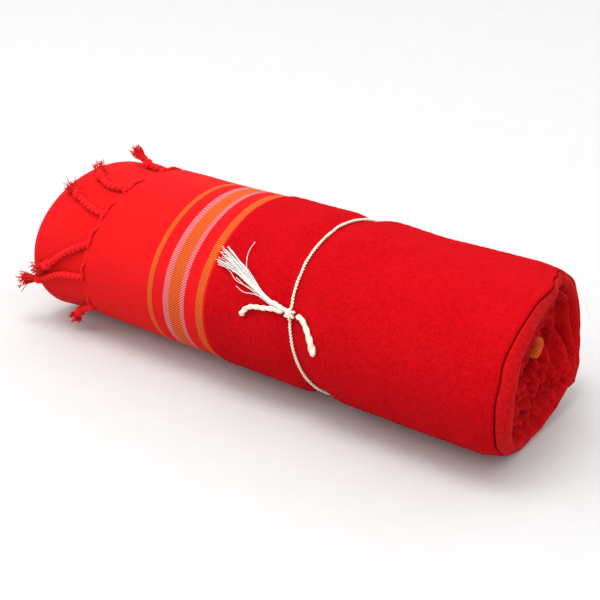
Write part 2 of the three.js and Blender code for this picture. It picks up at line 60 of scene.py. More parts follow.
# Sizes of the roll in millimetres, as in the part. Angles go round the roll in degrees, from 0 at
# the top over the front (-Y) to 180 at the bottom. A turn is counted in degrees from the flap
# inwards. Depth goes inwards from the woven cloth's surface.
HALF_WIDTH, TAPER, FLATNESS, AXIS_DROP = 81.0, 0.015, 0.85, 5.2
FLAP_ANGLE, FLAP_STEP, FLAP_BULGE, PITCH, TURNS = 230.0, 11.0, 3.0, 17.0, 3.5
GAP = 0.3
INNER_LAYER, STRIP_WIDTH, EDGE = 2.8, 7.0, 0.5
LEFT_INSET, LEFT_ROUND, LEFT_LIP = 1.0, 10.0, 4.0
SAG_DEPTH, SAG_ANGLE, SAG_SPREAD = 4.5, 138.0, 28.0
TOP_SAG, TOP_SAG_ANGLE, TOP_SAG_SPREAD = 2.6, -15.0, 48.0
TOWELLING_LEFT, TOWELLING_THICKNESS, TOWELLING_RAISE, TOWELLING_END_GAP = -43.0, 2.6, 1.4, 4.0
TIE_ANGLE, TIE_DEPTH, TIE_REACH, TIE_FLAT, TIE_DIAMETER = 67.0, 5.0, 20.0, 3.0, 2.6
WAIST_EDGE = 26
COLUMNS = 264

# Round the right end: where its groove lies along X, how far the lip stands out, and the tuck in
RIM_ANGLE = [0, 45, 90, 125, 160, 195, 230, 270, 300, 325, 345, 360]
RIM_GROOVE = [214, 213.5, 214, 212, 205, 204, 204, 198, 196, 197, 207, 214]
RIM_LIP = [4, 8, 11.5, 8, 5, 4, 6, 5, 4, 3, 3, 4]
RIM_TUCK = [2.5, 0.5, 1, 3, 2.5, 1.5, 0, 0, 0, 1.5, 3, 2.5]


def sin_deg(angle):
    return np.sin(np.radians(angle))


def cos_deg(angle):
    return np.cos(np.radians(angle))


def smooth(value, low, high):
    t = np.clip((np.asarray(value, float) - low) / (high - low), 0, 1)
    return t * t * (3 - 2 * t)


def lerp(a, b, t):
    return a + (b - a) * t


def rim(angle, table):
    """A value of one of the rim's tables, smoothly interpolated."""
    at = np.mod(angle, 360.0)
    n = np.clip(np.searchsorted(RIM_ANGLE, at, side="left"), 1, len(RIM_ANGLE) - 1)
    ends = np.array(RIM_ANGLE, float)
    t = smooth((at - ends[n - 1]) / (ends[n] - ends[n - 1]), 0, 1)
    values = np.array(table, float)
    return lerp(values[n - 1], values[n], t)


def groove_x(angle):
    return rim(angle, RIM_GROOVE)


def crease_x(angle):
    """Where the crease runs: a little wavy round the groove."""
    return (groove_x(angle) + 0.55 * sin_deg(5 * angle) + 0.4 * sin_deg(11 * angle + 40)
            + 0.25 * sin_deg(17 * angle))


def rim_x(angle):
    return groove_x(angle) + 0.6 * rim(angle, RIM_LIP)


def fringe_x(angle):
    return -160 - 9.5 * sin_deg(angle - 27)


def left_end_x(angle):
    return -224 - 13 * sin_deg(angle - 12)


def tie_x(angle):
    return 45.7 - 16.2 * cos_deg(angle) - 4.9 * sin_deg(angle)


def half_width(x):
    return HALF_WIDTH + TAPER * x


def axis_height(x):
    return FLATNESS * half_width(x) - AXIS_DROP


def winding_inset(turn):
    outermost = np.minimum(turn, 360) / 360
    further = np.maximum(turn - 360, 0) / 360
    return FLAP_STEP * (outermost - 0.5) + PITCH * further


def wound(x, turn, depth, floor):
    """A point of the roll, no lower than floor."""
    x, turn, depth = np.broadcast_arrays(np.asarray(x, float), turn, depth)
    angle = FLAP_ANGLE + turn
    inset = winding_inset(turn) + depth
    y = -(half_width(x) - inset) * sin_deg(angle)
    z = axis_height(x) + (FLATNESS * half_width(x) - inset) * cos_deg(angle)
    return np.stack([x, y, np.maximum(z, floor)], -1)


def turn_of(angle):
    return np.mod(angle - FLAP_ANGLE, 360.0)


def waist_depth(distance):
    """How far the string presses the roll in, by the distance from it along X."""
    beyond = np.maximum(np.abs(distance) - TIE_FLAT, 0)
    return TIE_DEPTH * 0.5 * (1 + np.cos(np.pi * np.minimum(beyond / TIE_REACH, 1)))


def top_sag(x, angle):
    """The top has settled a little between the string and the right end."""
    around = np.mod(np.asarray(angle) + (180.0 - TOP_SAG_ANGLE), 360.0) - 180.0
    along = smooth(x, 55, 115) * (1 - 0.5 * smooth(x, 200, 214))
    return TOP_SAG * np.exp(-(around / TOP_SAG_SPREAD) ** 2) * along


def on_towelling(x, angle, height):
    """A point that height above the towelling."""
    waist = waist_depth(x - tie_x(angle))
    return wound(x, turn_of(angle), waist - TOWELLING_RAISE - height, waist - height)


def beside_depth(x, angle):
    """Depth of the turn beside the fringed edge, which sags towards the left end."""
    start = fringe_x(angle) - EDGE - STRIP_WIDTH - 2 * GAP
    share = np.clip((start - x) / (start - left_end_x(angle) - LEFT_ROUND), 0, 1)
    away = (np.mod(angle, 360.0) - SAG_ANGLE) / SAG_SPREAD
    return INNER_LAYER - SAG_DEPTH * share * np.exp(-away ** 2)


def beside_fringe(out, angle, height):
    """A point that height above the roll and that far out from the fringed edge."""
    x = fringe_x(angle) - out
    depth = beside_depth(x, angle) - height
    return wound(x, turn_of(angle), depth, depth)


def lattice(i, j, k, seed):
    """A number from -1 to 1 for each corner of the noise's lattice, by an integer hash."""
    mixed = i * 374761393 + j * 668265263 + k * 1440662683 + seed * 1274126177
    mixed = (mixed ^ (mixed >> 13)) & 0xFFFFFFFF
    mixed = (mixed * 1103515245 + 12345) & 0xFFFFFFFF
    mixed = (mixed ^ (mixed >> 15)) & 0xFFFF
    return mixed / 32767.5 - 1


def noise(points, size, seed):
    """Smooth noise from -1 to 1 at points of shape (..., 3), with lumps about that size."""
    place = np.asarray(points, float) / size
    cell = np.floor(place).astype(np.int64)
    t = place - cell
    t = t * t * (3 - 2 * t)
    total = 0.0
    for a in (0, 1):
        for b in (0, 1):
            for c in (0, 1):
                share = (np.abs(1 - a - t[..., 0]) * np.abs(1 - b - t[..., 1])
                         * np.abs(1 - c - t[..., 2]))
                corner = lattice(cell[..., 0] + a, cell[..., 1] + b, cell[..., 2] + c, seed)
                total = total + share * corner
    return total


# Mesh helpers
def along_path(path):
    """The length of a path up to each of its points."""
    return np.concatenate([[0], np.cumsum(np.linalg.norm(np.diff(path, axis=0), axis=1))])


def twist(along, pitch):
    """The angle of a yarn that turns once in each pitch."""
    return 2 * np.pi * along / pitch


def rounded(along, low, high):
    """A tube's thickness from 0 to 1, rounded towards both ends."""
    return np.sqrt(smooth(np.minimum(along, along[-1] - along), low, high))


class Surface:
    """Collects points in millimetres and faces. cloth holds, for each point of a cloth, its place
    across and along it in millimetres and its share of towelling pile, and from 1 to 2 the painted
    shade of a hollow. On a tube it holds the place along it and the angle round it."""

    def __init__(self):
        self.points, self.cloth, self.faces, self.count = [], [], [], 0

    def add(self, points, cloth):
        """Adds points and returns their indices, in the same shape."""
        flat = points.reshape(-1, 3)
        index = np.arange(self.count, self.count + len(flat)).reshape(points.shape[:-1])
        self.points.append(flat)
        self.cloth.append(np.asarray(cloth, float).reshape(-1, 3))
        self.count += len(flat)
        return index

    def grid(self, index, flip=False):
        """Faces between the rows and columns of a grid of points."""
        corners = [index[:-1, :-1], index[:-1, 1:], index[1:, 1:], index[1:, :-1]]
        quads = np.stack(corners, -1).reshape(-1, 4)
        self.faces += (quads[:, ::-1] if flip else quads).tolist()

    def stitch(self, a, b, flip=False):
        """Joins two lines of points of different counts."""
        i = j = 0
        a, b = a.tolist(), b.tolist()
        last_a, last_b = len(a) - 1, len(b) - 1
        while i < last_a or j < last_b:
            ahead = j == last_b or (i < last_a and (i + 1) / last_a <= (j + 1) / last_b)
            face = [a[i], a[i + 1], b[j]] if ahead else [a[i], b[j + 1], b[j]]
            i, j = (i + 1, j) if ahead else (i, j + 1)
            self.faces.append(face[::-1] if flip else face)

    def tube(self, path, radius, sides, turn=0.0, lobes=None):
        """A closed tube along the path's points; radius, turn and lobes may change along it."""
        n = len(path)
        tangent = np.gradient(path, axis=0)
        tangent /= np.linalg.norm(tangent, axis=1)[:, None]
        normal = np.zeros_like(path)
        start = np.cross(tangent[0], [0, 0, 1.0])
        if np.linalg.norm(start) < 0.1:
            start = np.cross(tangent[0], [0, 1.0, 0])
        normal[0] = start / np.linalg.norm(start)
        for i in range(1, n):
            side = normal[i - 1] - tangent[i] * (normal[i - 1] @ tangent[i])
            normal[i] = side / np.linalg.norm(side)
        other = np.cross(tangent, normal)
        around = 2 * np.pi * np.arange(sides) / sides
        radius = np.broadcast_to(radius, n)[:, None]
        swell = 1.0 if lobes is None else 1 + lobes * (np.cos(2 * around)[None, :] - 1) / 2
        phase = around[None, :] + np.broadcast_to(turn, n)[:, None]
        ring = (path[:, None] + (radius * swell * np.cos(phase))[..., None] * normal[:, None]
                + (radius * swell * np.sin(phase))[..., None] * other[:, None])
        along = along_path(path)
        cloth = np.stack(np.broadcast_arrays(along[:, None], around[None, :], 0.0), -1)
        rings = self.add(ring, cloth)
        self.grid(np.concatenate([rings, rings[:, :1]], 1))
        for end, order in ((0, 1), (n - 1, -1)):
            tip = int(self.add(path[end][None], cloth[end][:1])[0])
            loop = rings[end].tolist()
            for k in range(sides):
                pair = [loop[k], loop[(k + 1) % sides]]
                self.faces.append([tip, *pair[::-order]])

    def build(self, name, material, replaces):
        """The piece itself, in the node that it replaces."""
        mesh = bpy.data.meshes.new(name)
        mesh.from_pydata((np.concatenate(self.points) * MM).tolist(), [], self.faces)
        mesh.update()
        cloth = mesh.attributes.new("cloth", "FLOAT_VECTOR", "POINT")
        cloth.data.foreach_set("vector", np.concatenate(self.cloth).astype(np.float32).ravel())
        mesh.polygons.foreach_set("use_smooth", [True] * len(mesh.polygons))
        mesh.materials.append(material)
        piece = bpy.data.objects.new(name, mesh)
        bpy.context.scene.collection.objects.link(piece)
        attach(piece, "root")
        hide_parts(replaces)
        return piece


def spline(points, spacing):
    """Centripetal spline through the points, sampled evenly."""
    p = np.asarray(points, float)
    p = np.concatenate([[2 * p[0] - p[1]], p, [2 * p[-1] - p[-2]]])
    chords = np.linalg.norm(np.diff(p, axis=0), axis=1)
    knots = np.concatenate([[0], np.cumsum(chords ** 0.5)])
    fine = []
    for i in range(1, len(p) - 2):
        t = np.linspace(knots[i], knots[i + 1], 24, endpoint=i == len(p) - 3)[:, None]
        k0, k1, k2, k3 = knots[i - 1:i + 3]
        a1 = p[i - 1] + (p[i] - p[i - 1]) * (t - k0) / (k1 - k0)
        a2 = p[i] + (p[i + 1] - p[i]) * (t - k1) / (k2 - k1)
        a3 = p[i + 1] + (p[i + 2] - p[i + 1]) * (t - k2) / (k3 - k2)
        b1 = a1 + (a2 - a1) * (t - k0) / (k2 - k0)
        b2 = a2 + (a3 - a2) * (t - k1) / (k3 - k1)
        fine.append(b1 + (b2 - b1) * (t - k1) / (k2 - k1))
    fine = np.concatenate(fine)
    along = along_path(fine)
    count = max(int(round(along[-1] / spacing)), 3)
    at = np.linspace(0, along[-1], count + 1)
    return np.stack([np.interp(at, along, fine[:, k]) for k in range(3)], -1)


def frames(path):
    """The direction, a side and the upper side of a path at each of its points."""
    tangent = np.gradient(path, axis=0)
    tangent /= np.linalg.norm(tangent, axis=1)[:, None]
    side = np.cross(tangent, [0, 0, 1.0])
    weak = np.linalg.norm(side, axis=1) < 0.2
    side[weak] = np.cross(tangent[weak], [1.0, 0, 0])
    side /= np.linalg.norm(side, axis=1)[:, None]
    return tangent, side, np.cross(side, tangent)


# Materials
class Net:
    """The node tree of one dull material."""

    def __init__(self, name, roughness, sheen, sheen_tint, gloss=0.03):
        self.material = bpy.data.materials.new(name)
        self.material.use_nodes = True
        self.tree = self.material.node_tree
        self.shader = self.tree.nodes["Principled BSDF"]
        for socket, value in (("Roughness", roughness), ("Specular IOR Level", gloss),
                              ("Sheen Weight", sheen), ("Sheen Roughness", 0.6),
                              ("Sheen Tint", (*sheen_tint, 1.0))):
            self.shader.inputs[socket].default_value = value

    def link(self, source, target):
        self.tree.links.new(source, target)

    def put(self, socket, value):
        if isinstance(value, bpy.types.NodeSocket):
            self.link(value, socket)
        else:
            socket.default_value = value

    def math(self, operation, a, b=None, c=None):
        node = self.tree.nodes.new("ShaderNodeMath")
        node.operation = operation
        for socket, value in zip(node.inputs, (a, b, c)):
            if value is not None:
                self.put(socket, value)
        return node.outputs[0]

    def ramp(self, value, low, high, to_low=0.0, to_high=1.0):
        """Goes smoothly from to_low to to_high as the value goes from low to high."""
        node = self.tree.nodes.new("ShaderNodeMapRange")
        node.interpolation_type = "SMOOTHSTEP"
        for socket, given in zip(node.inputs, (value, low, high, to_low, to_high)):
            self.put(socket, given)
        return node.outputs[0]

    def ridges(self, place, pitch):
        """Rises and falls between 0 and 1 once in each pitch."""
        return self.ramp(self.math("PINGPONG", self.math("DIVIDE", place, pitch), 0.5), 0.0, 0.5)

    def mix(self, share, a, b):
        node = self.tree.nodes.new("ShaderNodeMix")
        node.data_type = "RGBA"
        self.put(node.inputs[0], share)
        for socket, color in ((node.inputs[6], a), (node.inputs[7], b)):
            self.put(socket, color if isinstance(color, bpy.types.NodeSocket) else (*color, 1.0))
        return node.outputs[2]

    def split(self, vector):
        node = self.tree.nodes.new("ShaderNodeSeparateXYZ")
        self.link(vector, node.inputs[0])
        return node.outputs

    def attribute(self, name):
        node = self.tree.nodes.new("ShaderNodeAttribute")
        node.attribute_name = name
        return node.outputs["Vector"]

    def place(self):
        node = self.tree.nodes.new("ShaderNodeTexCoord")
        return node.outputs["Object"]

    def noise(self, vector, scale, detail=3.0, roughness=0.55):
        node = self.tree.nodes.new("ShaderNodeTexNoise")
        self.link(vector, node.inputs["Vector"])
        for name, value in (("Scale", scale), ("Detail", detail), ("Roughness", roughness)):
            node.inputs[name].default_value = value
        return node.outputs[0]

    def bump(self, height, strength, distance, below=None):
        node = self.tree.nodes.new("ShaderNodeBump")
        node.inputs["Strength"].default_value = strength
        node.inputs["Distance"].default_value = distance
        self.link(height, node.inputs["Height"])
        if below is not None:
            self.link(below, node.inputs["Normal"])
        return node.outputs[0]

    def finish(self, color, normal):
        self.put(self.shader.inputs["Base Color"], color)
        self.link(normal, self.shader.inputs["Normal"])
        return self.material


# Colours, with the shade that each has low in its weave or pile
RED = (0.645, 0.0080, 0.0095)
RED_LOW = (0.51, 0.0045, 0.0058)
CRIMSON = (0.46, 0.0028, 0.0064)
CRIMSON_LOW = (0.30, 0.0010, 0.0026)
# Painted shade for the hollows of the right end's folds
PAINTED_SHADE = (0.10, 0.0005, 0.0014)
ORANGE = (0.56, 0.150, 0.020)
ORANGE_LOW = (0.44, 0.016, 0.007)
PINK = (0.57, 0.25, 0.28)
PINK_LOW = (0.44, 0.012, 0.014)
CREAM = (0.88, 0.80, 0.66)
CREAM_LOW = (0.62, 0.52, 0.38)
YARN_RED, YARN_RED_LOW = (0.76, 0.010, 0.012), (0.56, 0.005, 0.007)
FRAYED, FRAYED_LOW = (0.90, 0.88, 0.84), (0.66, 0.62, 0.56)
RED_SHEEN, CRIMSON_SHEEN = (1.0, 0.30, 0.25), (1.0, 0.16, 0.20)
CREAM_SHEEN, WHITE = (1.0, 0.95, 0.85), (1.0, 1.0, 1.0)

# The weave, in millimetres: twill lines, threads, and the stripes' places across the cloth
TWILL, THREAD, YARN_LAY, YARN_PLIES = 2.7, 0.62, 1.1, 3
ORANGE_STRIPES = (-100.8, -96.3), (-79.6, -68.4), (-52.4, -45.6)
PINK_STRIPES = (-85.2, -79.6), (-68.4, -64.2)


def band(net, across, low, high, soft=0.25):
    """1 between low and high, and 0 beside them."""
    rise = net.ramp(across, low - soft, low + soft)
    fall = net.ramp(across, high - soft, high + soft)
    return net.math("SUBTRACT", rise, fall)


def cloth_material():
    """Woven cotton with a fine twill, stripes across it, pile where the lining shows, and painted
    shade in the hollows of the right end's folds.
    """
    net = Net("kikoy_cotton", 0.86, 0.05, RED_SHEEN)
    # The third value is the share of towelling pile up to 1, and painted shade in hollows from 1 to
    # 2
    across, along, pile_and_shade = net.split(net.attribute("cloth"))
    where = net.place()
    wander = net.math("MULTIPLY_ADD", net.noise(where, 160.0, 2.0), 0.9, -0.45)
    across_here = net.math("ADD", across, wander)

    diagonal = net.math("DIVIDE", net.math("ADD", across, along), TWILL)
    twill = net.ramp(net.math("PINGPONG", diagonal, 0.5), 0.20, 0.32)
    weft, warp = net.ridges(along, THREAD), net.ridges(across, THREAD)
    slub = net.noise(where, 900.0, 2.0)
    mottle = net.noise(where, 260.0, 3.0, 0.6)
    broad = net.noise(where, 22.0, 3.0)

    color = net.mix(net.math("MULTIPLY", twill, 0.35), RED, RED_LOW)
    color = net.mix(net.ramp(slub, 0.35, 0.70, 0.0, 0.55), color, RED_LOW)
    color = net.mix(net.ramp(mottle, 0.40, 0.68, 0.0, 0.30), color, RED_LOW)
    for stripes, light, dark in ((ORANGE_STRIPES, ORANGE, ORANGE_LOW),
                                 (PINK_STRIPES, PINK, PINK_LOW)):
        stripe = net.mix(twill, light, dark)
        for low, high in stripes:
            color = net.mix(band(net, across_here, low, high), color, stripe)

    fuzz = net.noise(where, 420.0, 4.0, 0.7)
    towelling = net.mix(net.ramp(fuzz, 0.35, 0.65), CRIMSON_LOW, CRIMSON)
    color = net.mix(net.math("MINIMUM", pile_and_shade, 1.0), color, towelling)
    color = net.mix(net.ramp(broad, 0.3, 0.7, 0.0, 0.16), color, CRIMSON)
    # Painted shade: the hollows of the right end's folds darken towards a near-black red
    color = net.mix(net.ramp(pile_and_shade, 1.0, 2.0, 0.0, 0.8), color, PAINTED_SHADE)

    threads = net.math("MULTIPLY", net.math("ADD", weft, warp), 0.25)
    weave = net.math("ADD", net.math("MULTIPLY", twill, -0.5), threads)
    height = net.math("ADD", weave, net.math("MULTIPLY", slub, 0.5))
    normal = net.bump(height, 0.35, 0.00035)
    normal = net.bump(fuzz, 0.35, 0.0009, normal)
    return net.finish(color, normal)


def towelling_material():
    """Short looped pile, darker between the loops."""
    net = Net("towelling_pile", 0.95, 0.05, CRIMSON_SHEEN, gloss=0.0)
    where = net.place()
    loops = net.noise(where, 760.0, 3.0, 0.7)
    clumps = net.noise(where, 210.0, 3.0, 0.6)
    broad = net.noise(where, 26.0, 3.0)
    pile_and_shade = net.math("ADD", net.math("MULTIPLY", loops, 0.8), net.math("MULTIPLY", clumps, 0.2))
    color = net.mix(net.ramp(pile_and_shade, 0.30, 0.64), CRIMSON_LOW, CRIMSON)
    color = net.mix(net.ramp(broad, 0.3, 0.75, 0.0, 0.10), color, RED)
    normal = net.bump(clumps, 0.2, 0.0008)
    normal = net.bump(loops, 0.6, 0.0007, normal)
    return net.finish(color, normal)


def yarn_material(name, light, dark, sheen_tint):
    """Twisted yarn: its fine plies run slanting round each tube."""
    net = Net(name, 0.88, 0.12, sheen_tint)
    along, around, _ = net.split(net.attribute("cloth"))
    slant = net.math("MULTIPLY", around, YARN_PLIES / (2 * math.pi))
    lay = net.math("ADD", net.math("DIVIDE", along, YARN_LAY), slant)
    ply = net.ramp(net.math("PINGPONG", lay, 0.5), 0.0, 0.5)
    fibre = net.noise(net.place(), 1500.0, 3.0, 0.7)
    shade = net.math("ADD", net.math("MULTIPLY", ply, 0.6), net.math("MULTIPLY", fibre, 0.6))
    color = net.mix(net.ramp(shade, 0.2, 0.75), dark, light)
    normal = net.bump(ply, 0.5, 0.0004)
    normal = net.bump(fibre, 0.4, 0.0003, normal)
    return net.finish(color, normal)


kikoy_cotton = cloth_material()
towelling_pile = towelling_material()
fringe_yarn = yarn_material("fringe_yarn", YARN_RED, YARN_RED_LOW, RED_SHEEN)
string_yarn = yarn_material("string_yarn", CREAM, CREAM_LOW, CREAM_SHEEN)
tuft_yarn = yarn_material("tuft_yarn", FRAYED, FRAYED_LOW, WHITE)


# The string's two free ends: the length of a twist, how thick they are along their length as a
# share of the diameter, and the route over the towelling as place along X, angle and height
END_LEFT = dict(diameter=4.4, pitch=12, swell=(1.0, 0.96, 0.98, 0.94, 0.98, 1.22), route=[
    (28.4, 67.6, 2.7), (24, 67, 2.6), (18, 67.2, 2.5), (12.8, 67.9, 2.5),
    (7, 68.6, 2.5), (2, 69.4, 2.5), (-2.8, 71.8, 2.5), (-6.4, 76.5, 2.5)])
END_RIGHT = dict(diameter=5.0, pitch=15, swell=(0.95, 0.9, 0.92, 1.0, 1.16, 1.18), route=[
    (41.4, 67, 3.2), (46.1, 67.2, 3), (50.6, 69.2, 2.9), (55.7, 73.3, 2.8),
    (59.4, 78, 2.8), (62.3, 83, 2.8), (63.8, 87, 2.8)])


def twisted_end(name, node, diameter, pitch, swell, route):
    path = spline([on_towelling(x, angle, height) for x, angle, height in route], 0.6)
    length = np.linalg.norm(np.diff(path, axis=0), axis=1).sum()
    along = np.linspace(0, length, len(path))
    thick = diameter / 2 * rounded(along, -0.6, diameter / 2)
    thick = thick * np.interp(along / length, np.linspace(0, 1, len(swell)), swell)
    surface = Surface()
    surface.tube(path, thick, 20, twist(along, pitch), lobes=0.24)
    piece = surface.build(name, string_yarn, node)


twisted_end("string_end_left", "tie_end_left", **END_LEFT)
twisted_end("string_end_right", "tie_end_right", **END_RIGHT)


# The roll: the woven cloth, its stepped edge, the folded right end and the left end. An end face
# has FACE_ROWS rows of faces in a turn's width and the colours of the cloth at FACE_ACROSS.
MM_PER_DEGREE = 1.42
RIGHT, LEFT = 1, -1
FACE_ROWS, FACE_ACROSS = 18, -150.0
LIP_TOP, LIP_SHARE = 0.36, 0.42
STEP_ROUNDING = (0.15, 1.9), (0.0, 1.0), (-0.4, 0.45), (-1.2, 0.25), (-3, 0.15)


def cloth_place(x, turn, pile_and_shade=0.0):
    """The place on the flat cloth; its stripes slant a little round the roll."""
    slant = lerp(4.4, 0.8, smooth(x, -166, -45))
    across = x + slant * sin_deg(FLAP_ANGLE + turn - 20)
    return np.stack(np.broadcast_arrays(across, turn * MM_PER_DEGREE, pile_and_shade), -1)


def unevenness(points):
    """The soft lumps of the cloth in millimetres, and the share of them that is left towards the
    floor."""
    lumps = 0.9 * noise(points, 46, 3) + 0.35 * noise(points, 19, 4)
    return lumps, smooth(points[:, 2], 3, 25)


def roll_stations(angle):
    """Rings of the roll from left to right: place along X, depth, least height, share of the
    right end's tuck, and unevenness."""
    bed = TOWELLING_THICKNESS - TOWELLING_RAISE + GAP
    bed_floor = TOWELLING_THICKNESS + GAP
    rings = []

    def ring(x, depth, floor, tucked=0.0, uneven=0.0):
        rings.append((x, depth, floor, tucked, uneven))

    def ring_beside(x, depth, uneven):
        depth = depth + beside_depth(x, angle)
        ring(x, depth, np.maximum(depth, INNER_LAYER), uneven=uneven)

    # The left end's rounding and the turn beside the fringed edge
    for t in np.linspace(0, 1, 9):
        quarter = t * math.pi / 2
        along = (LEFT_ROUND - LEFT_INSET) * (1 - math.cos(quarter))
        ring_beside(end_x(angle, LEFT) + along, 4.5 * (1 - math.sin(quarter)), 0.5 * t)
    edge = EDGE + GAP + STRIP_WIDTH
    for t in np.linspace(0, 1, 22)[1:]:
        ring_beside(lerp(left_end_x(angle) + LEFT_ROUND, fringe_x(angle) - edge - 0.25, t), 0, 0.6)

    # The step up to the fringed edge and the striped cloth as far as the towelling
    for out, depth in STEP_ROUNDING:
        ring(fringe_x(angle) - (edge + out), depth, depth, uneven=0.6)
    for t in np.linspace(0, 1, 66)[1:]:
        ring(lerp(fringe_x(angle) - edge + 3, TOWELLING_LEFT - 0.6, t), 0, 0, uneven=0.9 - 0.4 * t)

    # The bed that the towelling covers
    ring(TOWELLING_LEFT - 0.3, bed * 0.6, bed_floor * 0.6)
    for x in (TOWELLING_LEFT + 3, TOWELLING_LEFT + 22):
        ring(x, bed, bed_floor)
    for offset in (-WAIST_EDGE, -16, -9, -TIE_FLAT, TIE_FLAT, 9, 16, WAIST_EDGE):
        waist = float(waist_depth(offset))
        ring(tie_x(angle) + offset, bed + waist, bed_floor + waist)
    for x in (115, 165):
        ring(x, bed, bed_floor)
    ring(groove_x(angle) - 16, bed, bed_floor, 0.35)
    ring(groove_x(angle) - 3, bed, bed_floor, 1)

    # The crease and the lip beyond it
    crease = crease_x(angle)
    ring(crease - 0.6, bed + 1.6, bed_floor + 1.0, 1)
    ring(crease + 0.2, bed + 1.6, bed_floor + 0.9, 1, 0.2)
    ring(crease + 0.7, 1.7, 1.3, 1, 0.3)
    ring(crease + 1.4, 0.8, 0.6, 1, 0.4)
    for t in np.linspace(0, 1, 10)[1:]:
        ring(lerp(crease + 2.2, rim_x(angle), t), 0.2 + 1.6 * t ** 2.2, 0.8 * t ** 2.2, 1, 0.5)
    return rings


def hump(u):
    """The rounded profile of one fold, from 0 to 1 and back."""
    return np.sqrt(np.clip(1 - (2 * u - 1) ** 2, 0, 1)) ** 0.85


def fold_profile(count, share, crumple):
    """Two folds side by side in a turn's width, as heights in millimetres. The sines of the count
    of turns make them change along the spiral."""
    middle = 0.5 + 0.10 * np.sin(count * 9.2) + 0.06 * np.sin(count * 23.1 + 1)
    first = np.clip(share / middle, 0, 1)
    second = np.clip((share - middle) / (1 - middle), 0, 1)
    tall = 8.5 + 2.4 * np.sin(count * 17.3) + 1.6 * np.sin(count * 41 + 2)
    low = 7.0 + 2.6 * np.sin(count * 13.1 + 1.7) + 1.8 * np.sin(count * 37)
    height = np.where(share < middle, tall * hump(first), low * hump(second))
    dip = 2.2 * np.exp(-((share - middle) / 0.07) ** 2)
    return height * crumple - dip


def end_x(angle, side):
    return rim_x(angle) if side == RIGHT else left_end_x(angle) + LEFT_INSET


def end_relief(turn, share, side):
    """How far a point of an end face stands out from the rim of the outermost turn. share goes from
    0 at a turn's outer edge to 1 at the next turn's."""
    count = turn / 360
    inner = smooth(count, 0.80, 1.12)
    valley, sink, folding = (-9.0, 3.0, 1.0) if side == RIGHT else (-4.0, 1.5, 0.5)
    lip_size = rim(FLAP_ANGLE + turn, RIM_LIP) if side == RIGHT else LEFT_LIP

    def level(at):
        return (valley - sink * np.maximum(at - 1, 0)) * smooth(at, 1, 1.12)

    rising = np.abs(share / LIP_TOP - 1) ** 2.2 * smooth(LIP_TOP - share, -1e-6, 1e-6)
    lip = lip_size * LIP_SHARE * (1 - rising - smooth(share, 0.5, 1.0) ** 1.4)
    drop = share ** lerp(4.0, 1.6, inner) if side == RIGHT else share
    base = lerp(level(count), level(count + 1), drop)
    return base + lerp(lip, fold_profile(count, share, folding), inner)


def close_end(surface, rim_points, rim_index, wall_index, side):
    """Closes one end of the roll with a spiral band that starts at the flap's wall and goes from
    the rim to the core."""
    steps = int(TURNS * COLUMNS)
    shares = np.linspace(0, 1, FACE_ROWS + 1)
    turns = 360.0 * np.arange(0, steps + COLUMNS + 1) / COLUMNS
    depth = np.interp(turns, PRESSED_TURN, PRESSED_DEPTH) if side == RIGHT else 0.0
    line = wound(end_x(FLAP_ANGLE + turns, side), turns, depth, 0.0)
    line[:COLUMNS + 1] = rim_points
    outer, inner = line[1:steps + 1, None], line[1 + COLUMNS:steps + 1 + COLUMNS, None]
    p = lerp(outer, inner, shares[1:][None, :, None])
    turn, share = np.meshgrid(turns[1:steps + 1], shares[1:], indexing="ij")
    rough = (1.6 * noise(p, 15, 21) + noise(p, 7, 22)) * smooth(share, 0.0, 0.3)
    relief = end_relief(turn, share, side) + rough * (1 if side == RIGHT else 0.5)
    p[..., 0] = end_x(FLAP_ANGLE + turn, side) + side * relief
    slip = 1.5 * smooth(turn, 200, 420)
    p[..., 1] += slip * noise(p, 11, 31)
    p[..., 2] += slip * noise(p, 11, 32)
    p[..., 2] = np.maximum(p[..., 2], 1.0)
    # Painted shade in the right end's creases and pockets, carried above 1 in the cloth's third
    # value
    hollow_shade = 1.0 + crumple_and_shade_end(p, turn, share) if side == RIGHT else 1.0

    # The band starts at the rim for one turn, and then at its own last column, a turn further out
    band_index = np.zeros((steps + 1, FACE_ROWS + 1), int)
    band_index[0] = wall_index
    band_index[1:, 1:] = surface.add(p, cloth_place(FACE_ACROSS, turn, 0.92 * hollow_shade))
    band_index[1:COLUMNS + 1, 0] = rim_index[1:]
    for j in range(COLUMNS + 1, steps + 1):
        band_index[j, 0] = band_index[j - COLUMNS, FACE_ROWS]
    surface.grid(band_index.T if side == RIGHT else band_index)

    # The core: two shrinking rings and a point
    loop = np.append(band_index[steps - COLUMNS:steps + 1, FACE_ROWS],
                     band_index[steps, FACE_ROWS - 1:0:-1])
    ring = np.concatenate(surface.points)[loop]
    centre = ring.mean(0)
    rings = [loop]
    for t, deep in ((0.35, 1.0), (0.7, 4.0)):
        shrunk = lerp(ring, centre[None], t)
        shrunk[:, 0] -= side * deep
        rings.append(surface.add(shrunk, cloth_place(FACE_ACROSS, shrunk[:, 1], 0.9)))
    centre[0] -= side * 6
    core = int(surface.add(centre[None], [[FACE_ACROSS, 0, 0.9]])[0])
    for a, b in zip(rings[:-1], rings[1:]):
        surface.grid(np.stack([np.append(a, a[0]), np.append(b, b[0])]), flip=side == RIGHT)
    last = rings[-1].tolist()
    for n, index in enumerate(last):
        pair = [index, last[(n + 1) % len(last)]]
        surface.faces.append([*(pair if side == RIGHT else pair[::-1]), core])


# Deep pockets between the folds of the right end, darkened with painted shade: place across
# # (y, z), size (y, z) and depth
POCKETS = [
    (-46, 33, 8, 5, 11), (-40, 20, 9, 4, 9), (-28, 13, 10, 4, 8), (-52, 58, 5, 12, 8),
    (-8, 86, 9, 10, 7), (3, 84, 4, 12, 10), (30, 96, 5, 12, 7), (48, 60, 4, 16, 7),
    (22, 30, 12, 5, 7),
]

